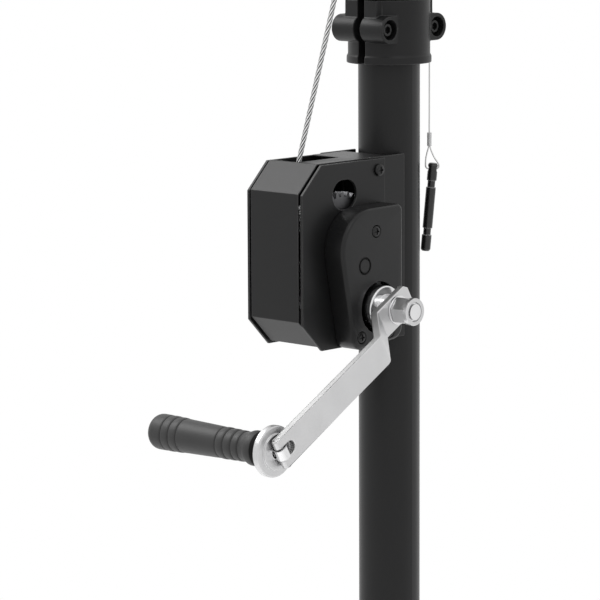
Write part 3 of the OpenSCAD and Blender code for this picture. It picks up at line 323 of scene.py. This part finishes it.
def painted(name, dark, light, edge_wear_and_highlight, rough, grain):
    """Black powder coat: a cloudy tone, fine orange peel, and lighter edges, partly where the coat is thin and
    partly as a painted highlight.
    """
    material, tree, shader, place = new_material(name)
    cloud = between(tree, noise(tree, place, scale=9), 0, 1)
    coat = blended(tree, cloud, dark, light)
    tree.links.new(blended(tree, edge_share(tree), coat, edge_wear_and_highlight), shader.inputs["Base Color"])
    speck = noise(tree, place, scale=1600, detail=2)
    tree.links.new(between(tree, speck, rough - 0.05, rough + 0.07), shader.inputs["Roughness"])
    peel = noise(tree, place, scale=700, detail=2)
    tree.links.new(bump(tree, peel, grain), shader.inputs["Normal"])
    return material


def moulded(name, dark, light, rough, grain):
    """A moulded or plain surface: fine spark texture and a slightly uneven tone."""
    material, tree, shader, place = new_material(name)
    cloud = between(tree, noise(tree, place, scale=25), 0, 1)
    tree.links.new(blended(tree, cloud, dark, light), shader.inputs["Base Color"])
    speck = noise(tree, place, scale=2200, detail=2)
    tree.links.new(between(tree, speck, rough - 0.06, rough + 0.06), shader.inputs["Roughness"])
    tree.links.new(bump(tree, speck, grain), shader.inputs["Normal"])
    return material


def plated(name, dark, light, rough, grain):
    """Plated or bare steel: a cloudy tone, fine pitting and an uneven polish."""
    material, tree, shader, place = new_material(name)
    shader.inputs["Metallic"].default_value = 1.0
    cloud = between(tree, noise(tree, place, scale=45, detail=4), 0, 1)
    tree.links.new(blended(tree, cloud, dark, light), shader.inputs["Base Color"])
    pits = noise(tree, place, scale=900)
    tree.links.new(between(tree, pits, rough - 0.04, rough + 0.05), shader.inputs["Roughness"])
    tree.links.new(bump(tree, pits, grain), shader.inputs["Normal"])
    return material


def wire_with_painted_light(name, groove_shade, crown, rough):
    """Wire strands with a painted highlight on their crowns and painted shade in the grooves between them."""
    material, tree, shader, place = new_material(name)
    height = tree.nodes.new("ShaderNodeAttribute")
    height.attribute_name = CROWN
    share = between(tree, height.outputs["Fac"], 0, 1, SHADE_BELOW, HIGHLIGHT_ABOVE)
    tree.links.new(blended(tree, share, groove_shade, crown), shader.inputs["Base Color"])
    tree.links.new(share, shader.inputs["Metallic"])
    wires = noise(tree, place, scale=1500, detail=2)
    tree.links.new(between(tree, wires, rough - 0.06, rough + 0.06), shader.inputs["Roughness"])
    return material


# Finishes

COAT_DARK = grey(0.007, 0.0073)
COAT_LIGHT = grey(0.009, 0.0093)
# Lighter edge colour of the coat: partly wear, partly a painted highlight
COAT_EDGE_WEAR_AND_HIGHLIGHT = grey(0.06)
LINING_DARK = (0.03, 0.029, 0.028, 1)
LINING_LIGHT = (0.05, 0.048, 0.046, 1)

paint = painted("black_paint", COAT_DARK, COAT_LIGHT, COAT_EDGE_WEAR_AND_HIGHLIGHT, rough=0.36, grain=0.012 * MM)
cast = painted("black_cast", COAT_DARK, COAT_LIGHT, COAT_EDGE_WEAR_AND_HIGHLIGHT, rough=0.42, grain=0.03 * MM)
worn_black = painted("worn_black", grey(0.008), grey(0.011), grey(0.28), rough=0.3, grain=0.004 * MM)
plastic = moulded("black_plastic", COAT_DARK, grey(0.01, 0.0103), rough=0.34, grain=0.01 * MM)
rubber = moulded("black_rubber", grey(0.022), grey(0.03), rough=0.5, grain=0.02 * MM)
# Near-black painted shade on the band at the grip's base
grip_band_painted_shade = moulded("painted_shade_grip_band", grey(0.002), grey(0.003), rough=0.75, grain=0.01 * MM)
lining = moulded("friction_lining", LINING_DARK, LINING_LIGHT, rough=0.6, grain=0.03 * MM)
# Near-black painted shade in the screw recesses
recess_painted_shade = moulded("recess_painted_shade", grey(0.003), grey(0.005), rough=0.7, grain=0.005 * MM)
screw_black = moulded("black_screw", grey(0.006, 0.0062), grey(0.009, 0.0092), rough=0.3, grain=0.004 * MM)
sleeve = moulded("crimped_alloy", grey(0.62), grey(0.7), rough=0.4, grain=0.004 * MM)
zinc = plated("zinc_plate", grey(0.56, 0.564), grey(0.60, 0.604), rough=0.34, grain=0.0005 * MM)
bright_zinc = plated("bright_zinc", grey(0.68, 0.685), grey(0.74, 0.745), rough=0.19, grain=0.0002 * MM)
sheared = plated("sheared_zinc", grey(0.42), grey(0.50), rough=0.50, grain=0.0003 * MM)
steel = plated("dark_steel", grey(0.10, 0.105), grey(0.15, 0.155), rough=0.45, grain=0.006 * MM)
# Steel darkened as painted shade for the drum and its axle inside the housing
steel_darkened_as_shade = plated("steel_painted_shade", grey(0.030, 0.031), grey(0.05, 0.051), rough=0.42, grain=0.004 * MM)
strand = plated("rope_strand", grey(0.62), grey(0.74, 0.73), rough=0.32, grain=0.001 * MM)
# Rope strands with a painted highlight on their crowns and painted shade between them
rope_painted_light = wire_with_painted_light("laid_rope", grey(0.012), grey(0.72), rough=0.28)

# How strongly the blacks reflect, where 0.5 is the shader's own level
SHINE = {paint: 0.25, cast: 0.25, plastic: 0.3, rubber: 0.4, screw_black: 0.3, recess_painted_shade: 0.1, grip_band_painted_shade: 0.1}
for material, level in SHINE.items():
    material.node_tree.nodes["Principled BSDF"].inputs["Specular IOR Level"].default_value = level

finish_of_slot = {"black_paint": paint, "black_cast": cast, "black_plastic": plastic, "rubber": rubber,
                  "friction": lining, "zinc": zinc, "steel": steel, "rope": strand}
# The drum and its axle take the steel darkened as painted shade
finish_of_node = {"drum": steel_darkened_as_shade, "drum_axle": steel_darkened_as_shade, "drive_shaft": bright_zinc, "crank_hub": bright_zinc,
                  "crank_washer": bright_zinc, "grip_axle": bright_zinc, "fold_pin": bright_zinc,
                  "lanyard_ferrule": sleeve, "lock_pin": worn_black, "housing_screws": screw_black,
                  "brake_cover_screws": screw_black, "collar_screws": screw_black}


def finish_of(node):
    """A node's own finish, or else that of its slot."""
    return finish_of_node.get(node, finish_of_slot[slot_of[node]])


for name, solid in nodes.items():
    solid.data.materials.clear()
    solid.data.materials.append(finish_of(name))
lanyard.data.materials.append(strand)


# Winch rope: six strands laid round the middle line of the solid rope

ROPE_R = 2 * MM
STRAND_CROWN = 0.1 * MM
LAY = 32 * MM
STRANDS = 6
STRAND_SHARE = 0.328
FIRST_SIDE = Vector((0.3, 1, 0.2))
SHEAVE_R = 17 * MM
SHEAVE_STEPS = 16
DROP_L = 2 * ROPE_R
SPAN_STEP = 1.6 * MM
SPAN_SIDES = 12
WIND_R = 30 * MM
WIND_TURNS = 5
WIND_PITCH = 4.9 * MM
WIND_STEPS = 96
WIND_SIDES = 8
# The layers under the strands: a sleeve on the drum's barrel with a bead for each turn, with a painted highlight
# on the beads and painted shade between them
BARREL_R = 18.2 * MM
BEAD_GAP = 0.45 * MM
BEAD_R = WIND_R - ROPE_R - BEAD_GAP
BEAD_DEPTH = 0.7 * ROPE_R
# How bright the beads' tops are painted, as a painted highlight
BEAD_PAINTED_HIGHLIGHT = 0.7
BEAD_STEPS = 8
BEAD_SIDES = 64

drum_at = Vector(joints["drum_spin"]["pos_m"])
sheave_at = Vector(joints["sheave_spin"]["pos_m"])
wind_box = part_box("rope_winding")
span_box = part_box("rope_span")


def evenly(points, step):
    """The same line with points about a step apart."""
    line = [points[0]]
    for a, b in zip(points, points[1:]):
        count = max(1, round((b - a).length / step))
        line += [a.lerp(b, k / count) for k in range(1, count + 1)]
    return line


def laid_rope(line, radius, sides):
    """Twisted strands round a line; each corner keeps how near it lies to the rope's outside, which sets the
    strands' painted highlight and shade.
    """
    strand_r = radius * STRAND_SHARE
    shape = bmesh.new()
    crown = shape.verts.layers.float.new(CROWN)
    rings = [[] for _ in range(STRANDS)]
    side = FIRST_SIDE
    run = 0.0
    for i, point in enumerate(line):
        before = line[max(i - 1, 0)]
        after = line[min(i + 1, len(line) - 1)]
        way = (after - before).normalized()
        side = (side - way * side.dot(way)).normalized()
        third = way.cross(side)
        run += (point - before).length
        for k, strand_rings in enumerate(rings):
            turn = 2 * math.pi * (run / LAY + k / STRANDS)
            out = side * math.cos(turn) + third * math.sin(turn)
            across = way.cross(out)
            middle = point + out * (radius - strand_r)
            ring = []
            for a in (2 * math.pi * n / sides for n in range(sides)):
                ring.append(shape.verts.new(middle + strand_r * (out * math.cos(a) + across * math.sin(a))))
                ring[-1][crown] = max(0.0, math.cos(a))
            strand_rings.append(ring)
    for strand_rings in rings:
        join_rings(shape, strand_rings)
        shape.faces.new(strand_rings[0][::-1])
        shape.faces.new(strand_rings[-1])
    return shape


def add_beads(shape, low_x, high_x):
    """The beaded sleeve under the winding's strands, as a closed ring, with a painted highlight on each bead's top
    and painted shade in the dips and on the barrel.
    """
    length = high_x - low_x
    steps = BEAD_STEPS * round(length / (2 * ROPE_R))
    outline = []
    for k in range(steps + 1):
        height = abs(math.sin(math.pi * k / BEAD_STEPS))
        outline.append((low_x + length * k / steps, BEAD_R - BEAD_DEPTH * (1 - height), BEAD_PAINTED_HIGHLIGHT * height))
    outline += [(high_x, BARREL_R, 0), (low_x, BARREL_R, 0)]
    crown = shape.verts.layers.float[CROWN]
    rings = []
    for x, radius, height in outline:
        rings.append(ring_at(shape, drum_at, radius, x, BEAD_SIDES))
        for corner in rings[-1]:
            corner[crown] = height
    join_rings(shape, rings + rings[:1])


to_sheave = sheave_at - drum_at
reach = math.hypot(to_sheave.y, to_sheave.z)
wrap_start = math.atan2(to_sheave.z, to_sheave.y) + math.acos((WIND_R - SHEAVE_R) / reach)
exit_x = span_box[0].x + ROPE_R

span_line = [on_circle(drum_at, WIND_R, wrap_start, exit_x)]
for k in range(SHEAVE_STEPS + 1):
    span_line.append(on_circle(sheave_at, SHEAVE_R, wrap_start * (1 - k / SHEAVE_STEPS), 0))
span_line.append(Vector((0, sheave_at.y + SHEAVE_R, sheave_at.z - DROP_L)))
span = laid_rope(evenly(span_line, SPAN_STEP), ROPE_R + STRAND_CROWN, SPAN_SIDES)
new_piece("rope_span_strands", finish_mesh("rope_span_strands", span), "rope_span", rope_painted_light)

wind_line = []
for k in range(WIND_TURNS * WIND_STEPS + 1):
    turns = k / WIND_STEPS
    angle = wrap_start + 2 * math.pi * turns
    wind_line.append(on_circle(drum_at, WIND_R, angle, exit_x + WIND_PITCH * turns))
winding = laid_rope(wind_line, ROPE_R, WIND_SIDES)
add_beads(winding, wind_box[0].x, wind_box[1].x)
new_piece("rope_winding_strands", finish_mesh("rope_winding_strands", winding), "rope_winding", rope_painted_light)


# Grip: its outline as (distance from the base, radius) in millimetres, with fine lines in the dips, and painted
# shade on the band at its base

GRIP_SIDES = 72
GRIP_SHADE_ANGLE = 60
# Where the painted shade at the grip's base ends, at a fine seam
SHADE_BAND_END = 7.5
SEAM_HALF = 0.4
GRIP_BASE = [(0, 12.6), (0.7, 13.3), (2, 13.6), (SHADE_BAND_END - SEAM_HALF, 13.75), (SHADE_BAND_END, 13.5),
             (SHADE_BAND_END + SEAM_HALF, 13.75), (13.2, 13.65), (14.2, 13.4), (15.2, 13), (16.6, 12.3),
             (17.8, 11.9)]
GRIP_LINES = [(22.2, 11.62), (29.4, 11.62), (37.6, 11.88), (45.5, 12.02), (87.0, 13.22), (95.2, 13.5),
              (103.3, 13.75)]
GRIP_WAIST = [(47.2, 12.18), (51, 12.36), (56, 12.48), (62, 12.66), (68, 12.8), (75, 12.96), (81, 13.1),
              (85.6, 13.25)]
GRIP_TAIL = [(104.8, 13.92), (107, 14.0)]
# What follows each line: the crown of a ridge by the line's number, and the waist after one of them
GRIP_CROWNS = {0: (25.4, 12.0), 1: (33.4, 12.2), 2: (41.6, 12.45), 4: (91.2, 13.75), 5: (99.2, 14.0)}
WAIST_AFTER = 3
FLANK_SHARES = [0.25, 0.5, 0.75]
FLANK_POWER = 2.4
LINE_HALF = 0.5
LINE_DEPTH = 0.65
END_R = 14.0
END_ROUND = 6.5
END_LEAD = 0.4
END_STEPS = 8
HOLLOW_L = 16.0
HOLLOW_R = 6.0


def flank(low, crown, share):
    """A point of a ridge's round flank, by the share of the way from the dip to the crown."""
    height = 1 - (1 - share) ** FLANK_POWER
    return (low[0] + (crown[0] - low[0]) * share, low[1] + (crown[1] - low[1]) * height)


def grip_profile(length):
    """Half outline of the grip, from the edge of its base to the middle of its round end."""
    outline = list(GRIP_BASE)
    for k, (at, dip) in enumerate(GRIP_LINES):
        outline += [(at - LINE_HALF, dip), (at, dip - LINE_DEPTH), (at + LINE_HALF, dip)]
        if k == WAIST_AFTER:
            outline += GRIP_WAIST
        elif k in GRIP_CROWNS:
            crown = GRIP_CROWNS[k]
            outline += [flank((at, dip), crown, share) for share in FLANK_SHARES]
            outline.append(crown)
            outline += [flank(GRIP_LINES[k + 1], crown, share) for share in reversed(FLANK_SHARES)]
    outline += GRIP_TAIL + [(length - END_ROUND - END_LEAD, END_R)]
    for k in range(1, END_STEPS + 1):
        angle = math.pi / 2 * k / END_STEPS
        along = length - END_ROUND * (1 - math.sin(angle))
        outline.append((along, END_R - END_ROUND * (1 - math.cos(angle))))
    return outline + [(length, 0)]


grip_low, grip_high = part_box("grip")
grip_middle = (grip_low + grip_high) / 2
grip_outline = [(HOLLOW_L, HOLLOW_R), (0, HOLLOW_R)] + grip_profile((grip_high.x - grip_low.x) / MM)
grip_shape = bmesh.new()
grip_rings = []
for along, radius in grip_outline:
    grip_rings.append(ring_at(grip_shape, grip_middle, radius * MM, grip_high.x - along * MM, GRIP_SIDES))
join_rings(grip_shape, grip_rings)
grip_shape.faces.new(grip_rings[0])
grip_mesh = finish_mesh("grip_ridges", grip_shape, GRIP_SHADE_ANGLE)
new_piece("grip_ridges", grip_mesh, "grip", rubber)
grip_mesh.materials.append(grip_band_painted_shade)
# The band at the grip's base takes the near-black painted shade
for face in grip_mesh.polygons:
    face.material_index = int(face.center.x > grip_high.x - SHADE_BAND_END * MM)


# Solids with rounded edges

EDGE_WIDTHS = {
    0.5 * MM: ["side_plate_right", "side_plate_left", "front_cover", "brace_1", "brace_2", "brace_3"],
    0.8 * MM: ["collar_right", "collar_left", "sheave_head", "lower_collar", "leg_hub", "top_socket",
               "winch_bracket"],
    1.1 * MM: ["crank_arm"],
    0.6 * MM: ["socket_knob", "hub_knob", "crank_nut", "crank_hub", "mast_cap", "grip_ring"],
    0.9 * MM: ["brake_cover"],
    0.3 * MM: ["lock_pin", "collar_screws", "housing_screws", "brake_cover_screws", "crank_washer",
               "fold_pin", "grip_axle", "sheave", "lanyard_ferrule"],
}
EYE_SHARE = 0.77
EYE_BORE = 2.5 * MM
EYE_SEAT = 0.2 * MM

fold_at = Vector(joints["grip_fold"]["pos_m"])
fold_axis = Vector(joints["grip_fold"]["axis"])
ring_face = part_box("grip_ring")[1].x


def slim_eye(point):
    """The eye of the grip's axle, slimmer than its solid so that the end of the arm's slot stays open."""
    out = point - fold_at
    out -= fold_axis * out.dot(fold_axis)
    if point.x < ring_face or out.length < EYE_BORE:
        return point
    moved = point - out * (1 - EYE_SHARE)
    if point.x < ring_face + EYE_SEAT:
        moved.x = point.x
    return moved


RESHAPES = {"grip_axle": slim_eye}
soft_mesh = {}
for width, names in EDGE_WIDTHS.items():
    for name in names:
        soft_mesh[name] = softened(name, finish_of(name), width, RESHAPES.get(name)).data


# Painted shade in the screw recesses, and the arm's sheared edges, which are duller than its faces

RECESS_SHARE = {"housing_screws": 0.62, "brake_cover_screws": 0.62, "collar_screws": 0.66}
RECESS_FACING = 0.8
SHEARED_FACING = 0.35


def islands(mesh):
    """The corner numbers of each separate solid in a mesh."""
    group = list(range(len(mesh.vertices)))

    def root(n):
        while group[n] != n:
            group[n] = group[group[n]]
            n = group[n]
        return n

    for edge in mesh.edges:
        group[root(edge.vertices[0])] = root(edge.vertices[1])
    found = {}
    for n in range(len(group)):
        found.setdefault(root(n), []).append(n)
    return found.values()


def paint_recess_shade(mesh, share):
    """Give the walls within a share of each screw's radius the painted recess shade; the screws lie along X."""
    mesh.materials.append(recess_painted_shade)
    head_of = {}
    for members in islands(mesh):
        ys = [mesh.vertices[n].co.y for n in members]
        zs = [mesh.vertices[n].co.z for n in members]
        head = ((min(ys) + max(ys)) / 2, (min(zs) + max(zs)) / 2, (max(ys) - min(ys)) / 2)
        head_of.update(dict.fromkeys(members, head))
    for face in mesh.polygons:
        y, z, head_r = head_of[face.vertices[0]]
        inside = math.hypot(face.center.y - y, face.center.z - z) < share * head_r
        face.material_index = int(inside and abs(face.normal.x) < RECESS_FACING)


for name, share in RECESS_SHARE.items():
    paint_recess_shade(soft_mesh[name], share)
arm = soft_mesh["crank_arm"]
arm.materials.append(sheared)
for face in arm.polygons:
    face.material_index = int(abs(face.normal.x) < SHEARED_FACING)


# Studio: pale floor, soft lamps, white background

FLOOR_R = 2.6
FLOOR_SIDES = 96
FLOOR_DROP = 0.5 * MM
FLOOR_COLOUR = grey(0.88)
FLOOR_ROUGH = 0.6
WHITE_FROM, WHITE_TO = 0.4 * FLOOR_R, 0.95 * FLOOR_R
WINCH = (0, -0.06, 1.25)
KEY_PLACE = (-1.6, -0.9, 3.2)
EDGE_PLACE = (1.6, -0.6, 2.95)
TO_CAMERA = (0.67, -0.74, 0)
TO_RIGHT = (0.74, 0.67, 0)
# Strengths of the world's light, and how far round or up, as a cosine or sine, each begins and ends
BESIDE, IN_FRONT = 0.70, 0.07
FRONT_FROM, FRONT_TO = 0.35, 0.92
BEHIND = 0.95
BACK_FROM = -0.3
LEFT_GAIN, RIGHT_GAIN = 1.14, 0.84
SKY = 1.5
SKY_FROM, SKY_TO = 0.2, 0.75
WHITE = 1


def sees_background(tree):
    """One for the rays that show the plain background: the camera's, reflections and those through glass."""
    path = tree.nodes.new("ShaderNodeLightPath")
    share = path.outputs["Is Camera Ray"]
    for kind in ("Is Glossy Ray", "Is Transmission Ray"):
        share = combined(tree, "MAXIMUM", share, path.outputs[kind])
    return share


def floor_look():
    """A pale floor that keeps the shadow, and turns into the plain background towards its rim."""
    material, tree, shader, place = new_material("floor")
    shader.inputs["Base Color"].default_value = FLOOR_COLOUR
    shader.inputs["Roughness"].default_value = FLOOR_ROUGH
    white = tree.nodes.new("ShaderNodeEmission")
    distance = tree.nodes.new("ShaderNodeVectorMath")
    distance.operation = "LENGTH"
    tree.links.new(place, distance.inputs[0])
    far = between(tree, distance.outputs["Value"], 0, 1, WHITE_FROM, WHITE_TO)
    either = tree.nodes.new("ShaderNodeMixShader")
    tree.links.new(combined(tree, "MULTIPLY", far, sees_background(tree)), either.inputs["Fac"])
    tree.links.new(shader.outputs["BSDF"], either.inputs[1])
    tree.links.new(white.outputs["Emission"], either.inputs[2])
    tree.links.new(either.outputs["Shader"], tree.nodes["Material Output"].inputs["Surface"])
    return material


def softbox(name, place, aim, size, power):
    """A square lamp that faces a point."""
    lamp = bpy.data.lights.new(name, "AREA")
    lamp.size = size
    lamp.energy = power
    holder = link(name, lamp)
    holder.location = place
    holder.rotation_euler = (Vector(aim) - Vector(place)).to_track_quat("-Z", "Y").to_euler()


def light_world(tree):
    """White where the background is seen; otherwise bright behind, beside and above, and dark in front."""
    way = tree.nodes.new("ShaderNodeTexCoord").outputs["Generated"]
    front = dot(tree, way, TO_CAMERA)
    beside = between(tree, front, BESIDE, IN_FRONT, FRONT_FROM, FRONT_TO)
    behind = between(tree, front, BEHIND, 0, -1, BACK_FROM)
    lean = between(tree, dot(tree, way, TO_RIGHT), LEFT_GAIN, RIGHT_GAIN, -1, 1)
    horizon = combined(tree, "MULTIPLY", combined(tree, "ADD", beside, behind), lean)
    split = tree.nodes.new("ShaderNodeSeparateXYZ")
    tree.links.new(way, split.inputs["Vector"])
    above = between(tree, split.outputs["Z"], 0, 1, SKY_FROM, SKY_TO)
    strength = mixed(tree, sees_background(tree), mixed(tree, above, horizon, SKY), WHITE)
    background = tree.nodes["Background"]
    background.inputs["Color"].default_value = grey(1)
    tree.links.new(strength, background.inputs["Strength"])


floor_mesh = bpy.data.meshes.new("floor")
disc = bmesh.new()
bmesh.ops.create_circle(disc, cap_ends=True, segments=FLOOR_SIDES, radius=FLOOR_R)
disc.to_mesh(floor_mesh)
disc.free()
floor_mesh.materials.append(floor_look())
floor = link("floor", floor_mesh)
floor.location.z = -FLOOR_DROP

softbox("key", KEY_PLACE, WINCH, size=1.5, power=40)
softbox("edge", EDGE_PLACE, WINCH, size=0.7, power=4)

world = bpy.data.worlds.new("studio")
scene.world = world
world.use_nodes = True
light_world(world.node_tree)


bpy.context.view_layer.update()
